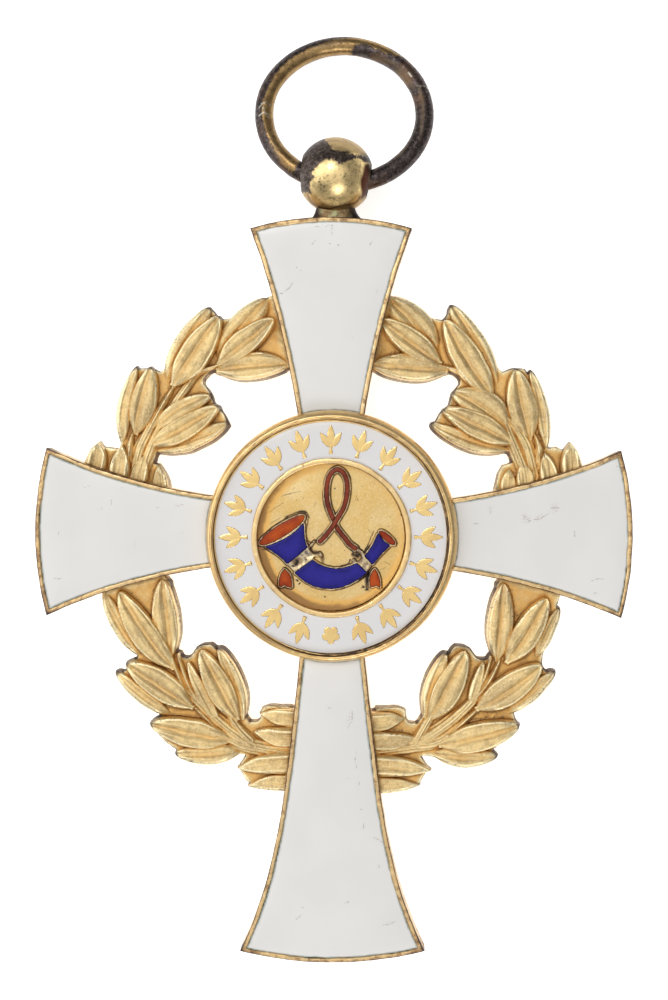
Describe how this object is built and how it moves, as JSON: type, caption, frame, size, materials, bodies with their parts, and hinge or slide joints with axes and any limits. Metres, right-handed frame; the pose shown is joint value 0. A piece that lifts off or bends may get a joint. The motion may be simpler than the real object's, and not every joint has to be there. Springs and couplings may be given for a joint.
{
  "type": "order medal",
  "caption": "Enamelled gilt cross with flared arms, a laurel wreath between them, a round medallion with a stringed hunting horn, and a wire ring that swings in a pierced ball.",
  "frame": {"origin": "centre of the flat boss on the back, on the axis of the medallion; the medal lies face up on this boss", "axes": "+Z out of the face, +Y from the medallion towards the suspension ring, +X to the right seen from the front"},
  "size_m": [0.042, 0.0657, 0.0054],
  "materials": {
    "gilt": "fire-gilt silver, matte on the wreath and polished on the rims, worn and darkened in its recesses",
    "white_enamel": "glossy opaque white enamel with a few pits and fine scratches",
    "blue_enamel": "glossy cobalt blue enamel",
    "red_enamel": "glossy orange-red enamel",
    "brown_enamel": "glossy brown-red enamel",
    "tarnished_silver": "silver wire darkened by tarnish, with what is left of its gilding"
  },
  "bodies": {
    "cross": {"cross_body": "gilt", "enamel_top": "white_enamel", "enamel_bottom": "white_enamel", "enamel_left": "white_enamel", "enamel_right": "white_enamel", "medallion_disc": "gilt", "band_enamel": "white_enamel", "horn_bell_enamel": "blue_enamel", "horn_body_enamel": "blue_enamel", "horn_tail_enamel": "blue_enamel", "horn_mouth_enamel": "red_enamel", "horn_mouthpiece_enamel": "red_enamel", "cord_enamel": "brown_enamel", "tassel_left_enamel": "red_enamel", "tassel_right_enamel": "red_enamel"},
    "ring": {"suspension_ring": "tarnished_silver"}
  },
  "joints": [
    {"name": "ring_swing", "type": "hinge", "parent": "cross", "child": "ring", "pos_m": [0.00029, 0.02529, 0.0027], "axis": [0.9945, -0.1045, 0], "range_deg": [-135, 159]}
  ]
}
